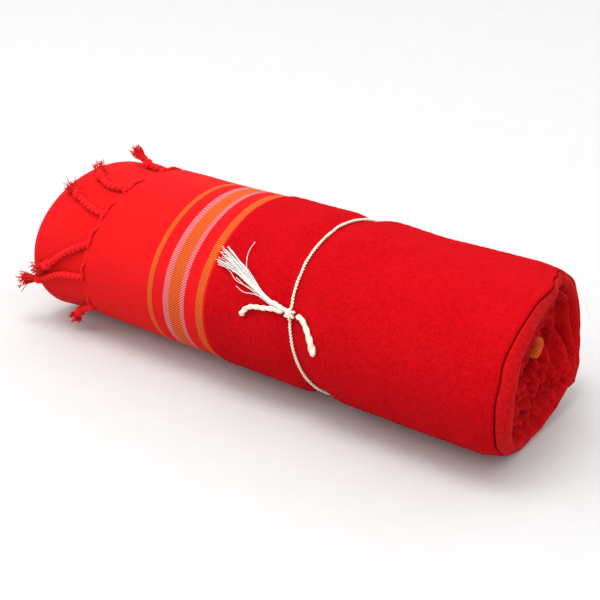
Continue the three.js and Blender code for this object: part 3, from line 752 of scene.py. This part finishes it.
# How deep the right end's turns are pressed in, by the turn in degrees
PRESSED_TURN = [360, 430, 500, 600, 690, 760, 860, 960, 1060, 1260]
PRESSED_DEPTH = [0, 3, 8, 6, 3, 3, 5, 3, 1, 0]

# The striped fold's corners across (y, z): bottom and top of its left and right sides
FOLD_Y = (-11.6, -6.6), (-4.5, -0.9)
FOLD_Z = (79.2, 94.6), (76.0, 92.1)
FOLD_X, FOLD_DEEP = 212.2, 9.0


def crumple_and_shade_end(p, turn, share):
    """Presses sharp creases and pockets into the inner folds. Returns the painted shade of each
    point, from 0 to 1, which grows with how deep it lies in a crease or pocket."""
    y, z = p[..., 1].copy(), p[..., 2].copy()
    inside = smooth(turn + 360 * share, 400, 520)
    tall = np.stack([y * 0 + 5, y * 1.7, z * 0.62], -1)
    crease = 1 - smooth(np.abs(noise(tall, 12, 41)), 0.0, 0.30)
    small = 1 - smooth(np.abs(noise(tall, 6, 42)), 0.0, 0.34)
    p[..., 0] -= inside * (4.2 * crease + 1.6 * small - 2.2 * noise(tall, 21, 43))
    # Painted shade: darkest along the creases, and more in the pockets below
    hollow_shade = 0.55 * crease ** 2 + 0.15 * small
    for at_y, at_z, wide, high, deep in POCKETS:
        near = np.exp(-((y - at_y) / wide) ** 2 - ((z - at_z) / high) ** 2)
        p[..., 0] -= deep * near * inside
        hollow_shade = hollow_shade + 0.07 * deep * near
    return np.clip(hollow_shade * inside, 0, 1)


def striped_fold(surface):
    """A fold that shows one orange stripe between the layers of the right end."""
    t, u = np.meshgrid(np.linspace(0, 1, 26), np.linspace(0, 1, 15), indexing="ij")

    def between(corners):
        (low_left, high_left), (low_right, high_right) = corners
        return lerp(lerp(low_left, high_left, t), lerp(low_right, high_right, t), u)

    y = between(FOLD_Y) + 0.8 * np.sin(3 * t) + 0.5 * np.sin(9 * t + 2) * (1 - u)
    z = between(FOLD_Z) + 0.7 * np.sin(3 * u)
    lumps = 0.5 * noise(np.stack([0 * y, y, z], -1), 4, 61)
    x = FOLD_X - 2.6 * (2 * u - 1) ** 2 - 2.2 * (2 * t - 1) ** 4 + lumps
    front = np.stack([x, y, z], -1)
    cloth = np.stack([-51.2 + 4.6 * u, 26 * t, 0 * t], -1)
    outer, inner = surface.add(front, cloth), surface.add(front - [FOLD_DEEP, 0, 0], cloth)
    surface.grid(outer, flip=True)
    surface.grid(inner)
    for end, flip in ((0, False), (-1, True)):
        surface.grid(np.stack([outer[:, end], inner[:, end]]), flip=not flip)
        surface.grid(np.stack([outer[end], inner[end]]), flip=flip)


def roll():
    surface = Surface()
    turns = 360.0 * np.arange(COLUMNS + 1) / COLUMNS
    angles = FLAP_ANGLE + turns
    rings = []
    for x, depth, floor, tucked, uneven in roll_stations(angles):
        tuck = tucked * rim(angles, RIM_TUCK) + top_sag(x, angles)
        lumps, fade = unevenness(wound(x, turns, depth + tuck, 0.0))
        rings.append(wound(x, turns, depth + tuck - uneven * lumps * fade, floor + tuck))
    rings = np.array(rings)
    pile_and_shade = (rings[..., 0] > 150).astype(float) * 0.8
    index = surface.add(rings, cloth_place(rings[..., 0], turns[None, :], pile_and_shade))
    surface.grid(index)

    # The flap's wall, from the outermost turn's end down to the turn under it
    share = np.linspace(0, 1, FACE_ROWS + 1)[1:-1]
    bulge = FLAP_BULGE * np.sin(np.pi * share) + 1.2 * np.abs(np.sin(2 * np.pi * share))
    walls = []
    for i, line in enumerate(rings):
        p = lerp(line[0], line[-1], share[:, None])
        p[:, 1] += bulge * cos_deg(FLAP_ANGLE)
        p[:, 2] += bulge * sin_deg(FLAP_ANGLE)
        wall = surface.add(p, cloth_place(p[:, 0], share * 10, pile_and_shade[i, 0]))
        walls.append(np.concatenate([[index[i, 0]], wall, [index[i, -1]]]))
    walls = np.array(walls)
    surface.grid(walls, flip=True)
    close_end(surface, rings[-1], index[-1], walls[-1], RIGHT)
    close_end(surface, rings[0], index[0], walls[0], LEFT)
    striped_fold(surface)
    surface.build("kikoy_roll", kikoy_cotton, "cloth_roll")


roll()


# The towelling: a sheet round the roll, whose edges are rounded by rows of distance and depth
LEFT_ROUNDING = (0.0, 2.0), (0.15, 1.1), (0.5, 0.5), (1.1, 0.15)
CREASE_ROUNDING = (1.9, 0.25), (1.1, 0.65), (0.5, 1.25), (0.1, 2.1)


def towelling():
    surface = Surface()
    columns = 300
    turns = np.append(360.0 * np.arange(columns) / columns, 360 - TOWELLING_END_GAP)
    angles = FLAP_ANGLE + turns
    tie, groove, crease = tie_x(angles), groove_x(angles), crease_x(angles)

    # Rows from left to right: place along X and how deep the rounded edges lie
    rows = [(TOWELLING_LEFT + out, under) for out, under in LEFT_ROUNDING]
    for t in np.linspace(0, 1, 34)[1:]:
        rows.append((lerp(TOWELLING_LEFT + LEFT_ROUNDING[-1][0], tie - WAIST_EDGE, t), 0.0))
    for span in ((-24, -7, 1.6), (-6.5, 7, 0.9), (8, 26.1, 1.6)):
        rows += [(tie + offset, 0.0) for offset in np.arange(*span)]
    for t in np.linspace(0, 1, 78)[1:]:
        rows.append((lerp(tie + WAIST_EDGE, crease - 3.0, t), 0.0))
    rows += [(crease - out, under) for out, under in CREASE_ROUNDING]

    def line(x, under, rough):
        tuck = smooth(x, groove - 16, groove - 3) * rim(angles, RIM_TUCK)
        depth = under + waist_depth(x - tie) + tuck + top_sag(x, angles)
        soft = 0.0
        if rough:
            plain = wound(x, turns, depth - TOWELLING_RAISE, 0.0)
            lumps, fade = unevenness(plain)
            soft = smooth(x, TOWELLING_LEFT, TOWELLING_LEFT + 20) * lumps * fade
            soft = soft + 0.30 * noise(plain, 2.6, 7) + 0.16 * noise(plain, 1.5, 8)
        return wound(x, turns, depth - TOWELLING_RAISE - soft, depth)

    outer = np.array([line(x, under, True) for x, under in rows])
    chosen = [*range(0, len(rows) - 1, 6), len(rows) - 1]
    inner = np.array([line(rows[i][0], TOWELLING_THICKNESS, False) for i in chosen])
    index = surface.add(outer, cloth_place(outer[..., 0], turns[None, :], 1.0))
    under = surface.add(inner, cloth_place(inner[..., 0], turns[None, :], 1.0))
    surface.grid(index)
    surface.grid(under, flip=True)
    surface.grid(np.stack([index[0], under[0]]), flip=True)
    surface.grid(np.stack([index[-1], under[-1]]))
    surface.stitch(index[:, 0], under[:, 0])
    surface.stitch(index[:, -1], under[:, -1], flip=True)
    sheet = surface.build("towelling_lining", towelling_pile, "towelling_panel")


towelling()


# The fringe: twisted and knotted tassels. root is the angle where a tassel leaves the cloth. mid,
# knot and tip are distance from the edge, swing of the angle and lift. A fifth value is how wide
# the brush of loose yarns beyond the knot opens.
TASSELS = [
    (-13, (14, 0, 0), (26, -1, 1), (40, 0, 11), 1.2),
    (19, (24, 1, 0), (42, -5, 0), (53, -12, 1)),
    (42, (25, -3, 0), (44, -9, 0), (55, -13, 1)),
    (63, (27, 12, 0), (46, 26, 0), (58, 31, 1)),
    (89, (30, 4, 0), (56, 14, 1), (74, 16, 5)),
    (120, (13, 3, 1), (21, 6, 4), (26, 10, 9)),
    (214, (22, -4, 0), (38, -2, 0), (50, 2, 0)),
    (240, (21, 5, 0), (38, 11, 0), (50, 14, 1)),
    (262, (20, -6, 0), (36, -14, 0), (48, -16, 0)),
    (284, (20, 5, 0), (37, 3, 0), (50, -3, 1)),
    (305, (22, -4, 0), (38, -8, 0), (50, -11, 0)),
]
PLY, PLY_OFFSET, PLY_PITCH, YARN_PITCH, SEAT = 1.85, 1.15, 10.5, 5, 3.6
LEG_REACH, LEG_RADIUS, LEG_SPREAD = 5.0, 1.45, (-13, 4)
KNOT_LENGTH, KNOT_TURNS = 5.0, 1.7
BRUSH_YARNS, BRUSH_YARN_RADIUS, BRUSH_START, BRUSH_CURL = 84, 0.5, 2.5, 1.1
BRUSH_TAPER = [1, 1, 1, 1, 1, 1, 1, 0.97, 0.85, 0.55]


def brush_yarns(surface, start, direction, length, spread):
    """Loose yarns fanned from a point."""
    direction = direction / np.linalg.norm(direction)
    side = np.cross(direction, [0.1, 0.2, 1.0])
    side /= np.linalg.norm(side)
    other = np.cross(direction, side)
    t = np.linspace(0, 1, 7)[:, None]
    for _ in range(BRUSH_YARNS):
        around, off = rng.uniform(0, 2 * math.pi), math.sqrt(rng.uniform(0, 1))
        lean = (side * math.cos(around) + other * math.sin(around)) * off
        reach = length * rng.uniform(0.72, 1.05)
        wave = BRUSH_CURL * np.sin(t * rng.uniform(3, 6) + rng.uniform(0, 6)) * t * reach * 0.12
        path = (start + lean * BRUSH_START + direction * reach * t + lean * spread * t ** 1.5
                + (side * rng.normal() + other * rng.normal()) * wave)
        path[:, 2] = np.maximum(path[:, 2], 1.0)
        surface.tube(path, BRUSH_YARN_RADIUS * (1 - 0.35 * t[:, 0]), 3, rng.uniform(0, 6))


def tassel(surface, root, mid, knot, tip, spread=3.6):
    def at(out, swing, lift):
        return beside_fringe(out, root + swing, SEAT + lift)

    start = at(LEG_REACH, 0, 0)
    points = np.array([start, at(*mid), at(*knot), at(*tip)])
    path = spline(points, 0.7)
    to_knot = np.argmin(np.linalg.norm(path - points[2], axis=1))
    tangent, side, up = frames(path)
    cord = slice(0, to_knot + 3)
    along = 0.7 * np.arange(len(path))
    phase = rng.uniform(0, 6)
    apart = PLY_OFFSET * smooth(along, -4, 5)
    thick = PLY * (0.86 + 0.14 * smooth(along[cord], 0, 6))
    for ply in (0, math.pi):
        angle = twist(along, PLY_PITCH) + ply + phase
        strand = (path + (np.cos(angle) * apart)[:, None] * side
                  + (np.sin(angle) * apart)[:, None] * up)
        surface.tube(strand[cord], thick, 9, twist(along[cord], YARN_PITCH))

    # Two legs in a V from the cloth's edge
    downhill = -1 if root > 180 else 1
    for lean in LEG_SPREAD:
        foot = beside_fringe(3.4, root + downhill * lean, 2.9)
        middle = beside_fringe(5.8, root + downhill * lean * 0.55, 4.1)
        leg = spline([foot, middle, start, path[5]], 0.8)
        grow = 0.75 + 0.25 * smooth(np.linspace(0, 1, len(leg)), 0, 0.35)
        surface.tube(leg, LEG_RADIUS * grow, 10, 0.5 * np.arange(len(leg)), lobes=0.2)

    # The knot: a coil round a plain core
    centre = path[to_knot]
    axis, across, over = tangent[to_knot], side[to_knot], up[to_knot]
    t = np.linspace(0, 1, 42)
    turns = 2 * np.pi * KNOT_TURNS * t + phase
    coil = (centre + axis * ((t[:, None] - 0.5) * KNOT_LENGTH)
            + np.cos(turns)[:, None] * across * 2.5 + np.sin(turns)[:, None] * over * 2.3)
    surface.tube(coil, 2.05 * rounded(t, -0.03, 0.12), 10)
    core = centre + axis * np.linspace(-3.4, 3.4, 9)[:, None]
    surface.tube(core, 2.9 * np.sqrt(np.clip(1 - np.linspace(-0.98, 0.98, 9) ** 2, 0, 1)), 12)

    # The brush: a soft core and loose yarns
    toward = points[3] - points[2]
    reach = np.linalg.norm(toward)
    aim = toward + axis * 3
    aim /= np.linalg.norm(aim)
    count = len(BRUSH_TAPER)
    brush = centre + aim * np.linspace(0.5, reach * 0.82, count)[:, None]
    thick = lerp(2.1, 2.3 + 0.28 * spread, np.linspace(0, 1, count)) * BRUSH_TAPER
    surface.tube(brush, thick, 12, 0.25 * np.arange(count), lobes=0.3)
    brush_yarns(surface, centre + aim * 1.8, aim, reach + 0.6, spread)


def fringe():
    surface = Surface()
    for row in TASSELS:
        tassel(surface, *row)
    surface.build("fringe_tassels", fringe_yarn, "fringe")


fringe()


# The string round the waist, its knot and the frayed end
STRING_PITCH, KNOT_PITCH = 5.5, 6


def tie_route():
    """The string's closed path: tight over the towelling, so the convex hull of its waist."""
    angle = TIE_ANGLE + np.arange(720) * 0.5
    points = on_towelling(tie_x(angle), angle, TIE_DIAMETER / 2 + 0.35)
    hull = [*points, points[0]]
    count = 0
    while count != len(hull):
        count = len(hull)
        kept = [hull[0]]
        for b, c in zip(hull[1:-1], hull[2:]):
            a = kept[-1]
            if (b[1] - a[1]) * (c[2] - a[2]) - (b[2] - a[2]) * (c[1] - a[1]) > 0:
                kept.append(b)
        hull = [*kept, hull[-1]]
    return np.array(hull)


def string():
    surface = Surface()
    path = spline(tie_route()[::3], 0.8)
    path[:, 0] += 0.5 * noise(path, 9, 51)
    path = path[3:-3]
    along = 0.8 * np.arange(len(path))
    thick = TIE_DIAMETER / 2 * (1 + 0.06 * np.sin(along * 0.37))
    surface.tube(path, thick, 12, twist(along, STRING_PITCH), lobes=0.34)
    surface.build("string_round_waist", string_yarn, "tie_band")


string()


# The knot's loops, along X, down the roll and out from it, and the radius of each
KNOT_LOOPS = [
    (1.45, [(-5.0, -1.6, -0.4), (-2.6, -2.4, 1.3), (0.4, -1.2, 2.4), (2.6, 1.2, 1.6),
            (4.6, 1.9, -0.2)]),
    (1.35, [(-4.6, 1.8, -0.6), (-2.2, 2.4, 0.9), (0.2, 0.6, 1.9), (2.2, -1.9, 1.5),
            (4.4, -2.3, -0.4)]),
    (1.5, [(0.6, -4.6, -0.6), (-0.9, -2.2, 1.2), (-0.7, 0.2, 2.7), (0.9, 2.5, 1.4),
           (0.4, 4.6, -0.4)]),
    (2.4, [(-3.0, -0.4, -1.2), (0, 0, -0.6), (3.0, 0.3, -1.2)]),
]


def knot():
    surface = Surface()
    axis = np.array([1.0, 0, 0])
    down = np.array([0, -cos_deg(TIE_ANGLE), -sin_deg(TIE_ANGLE)])
    out = np.array([0, -sin_deg(TIE_ANGLE), cos_deg(TIE_ANGLE)])
    centre = on_towelling(tie_x(TIE_ANGLE), TIE_ANGLE, 3.3)
    for radius, loop in KNOT_LOOPS:
        path = spline([centre + axis * a + down * b + out * c for a, b, c in loop], 0.45)
        along = 0.45 * np.arange(len(path))
        thick = radius * rounded(along, -0.4, 1.4)
        surface.tube(path, thick, 12, twist(along, KNOT_PITCH), lobes=0.28)
    surface.build("string_knot", string_yarn, "tie_knot")


knot()


# The frayed end's route (place along X, angle), and its locks: swing of the angle, lift, reach as a
# share of the route, and number of yarns. The head and the stray yarns also have a height.
TUFT_X = [31.5, 20, 7, -5, -15, -28, -42.5]
TUFT_ANGLE = [65.5, 63.8, 60.0, 55.0, 51.2, 47.8, 44.6]
LOCKS = [(-1.5, 0.0, 1.00, 17), (1.3, 0.6, 0.97, 15), (-0.1, 0.35, 0.90, 13), (2.9, 0.1, 0.80, 6)]
TUFT_HEAD = [(31.5, 66, 3.6), (26, 64.6, 3.2), (19, 62.6, 2.6)]
STRAYS = [
    [(6, 60.6, 2.6), (-7.2, 58.6, 2.2), (-18.4, 57.2, 2.0), (-27, 53, 1.6), (-41.6, 49.8, 1.2)],
    [(-9, 53, 3.0), (-15.5, 45.1, 2.6), (-18.3, 39, 2.4), (-18.2, 32, 2.2)],
    [(10, 62.0, 2.6), (1, 61.8, 2.4), (-9, 62.4, 1.8), (-17, 60.4, 1.2)],
]


def loose_yarn(surface, across, lift, reach, bend, wave, radius):
    """One fine yarn along the frayed end's route."""
    t = np.linspace(0, 1, 14)
    s = t * reach
    stations = np.linspace(0, 1, len(TUFT_X))
    x, angle = np.interp(s, stations, TUFT_X), np.interp(s, stations, TUFT_ANGLE)
    opened = smooth(s, 0.22, 0.68)
    swing = (across * (lerp(0.30, 1.0, opened) + 0.7 * smooth(s, 0.72, 1.0))
             + bend * np.maximum(s - 0.55, 0) ** 2 + wave * np.sin(s * 9) * opened)
    height = lerp(3.4, 1.2, smooth(s, 0.0, 0.45)) + lift * lerp(0.6, 1.0, opened)
    path = on_towelling(x, angle + swing, height)
    surface.tube(path, radius * (1 - 0.25 * t), 4, rng.uniform(0, 6))


def tuft():
    """The frayed end: fine yarns in loose locks that lie over the towelling, and a few strays."""
    surface = Surface()
    for shift, lift, reach, count in LOCKS:
        for _ in range(count):
            spread = rng.normal(0, 0.75)
            loose_yarn(surface, shift * 1.15 + spread, abs(rng.normal(0, 0.9)) + lift,
                       reach * rng.uniform(0.88, 1.03), rng.normal(0, 10), rng.normal(0, 0.32),
                       rng.uniform(0.28, 0.44))
    head = spline([on_towelling(*place) for place in TUFT_HEAD], 0.6)
    count = len(head)
    surface.tube(head, np.linspace(1.9, 1.5, count), 10, 0.5 * np.arange(count), lobes=0.25)
    for route in STRAYS:
        surface.tube(spline([on_towelling(*place) for place in route], 2.2), 0.3, 4)
    surface.build("string_tuft", tuft_yarn, "tie_tuft")


tuft()


# Floor and light
FLOOR, FLOOR_LOW = (0.55, 0.55, 0.55), (0.54, 0.54, 0.54)
WORLD_STRENGTH = 1.32


def stage():
    net = Net("floor_paint", 0.9, 0.0, WHITE)
    grain = net.noise(net.place(), 40.0, 3.0)
    color = net.mix(net.ramp(grain, 0.3, 0.7), FLOOR, FLOOR_LOW)
    material = net.finish(color, net.bump(grain, 0.02, 0.0005))
    mesh = bpy.data.meshes.new("floor")
    corners = [(-8, -8, 0), (8, -8, 0), (8, 8, 0), (-8, 8, 0)]
    mesh.from_pydata(corners, [], [(0, 1, 2, 3)])
    mesh.materials.append(material)
    floor = bpy.data.objects.new("floor", mesh)
    bpy.context.scene.collection.objects.link(floor)


def area_light(name, place, size, power):
    """A round light that looks at the middle of the roll."""
    data = bpy.data.lights.new(name, "AREA")
    data.shape, data.size, data.energy = "DISK", size, power
    light = bpy.data.objects.new(name, data)
    light.location = place
    x, y, z = np.array([0, 0, 0.05]) - place
    light.rotation_euler = (math.atan2(math.hypot(x, y), -z), 0, math.atan2(y, x) - math.pi / 2)
    bpy.context.scene.collection.objects.link(light)


stage()
area_light("key", (-0.1, -0.45, 2.5), 1.2, 34)
area_light("side", (-1.2, -1.2, 1.8), 1.3, 9)
world = bpy.data.worlds.new("studio")
world.use_nodes = True
backdrop = world.node_tree.nodes["Background"].inputs
backdrop["Color"].default_value = (*WHITE, 1.0)
backdrop["Strength"].default_value = WORLD_STRENGTH
bpy.context.scene.world = world
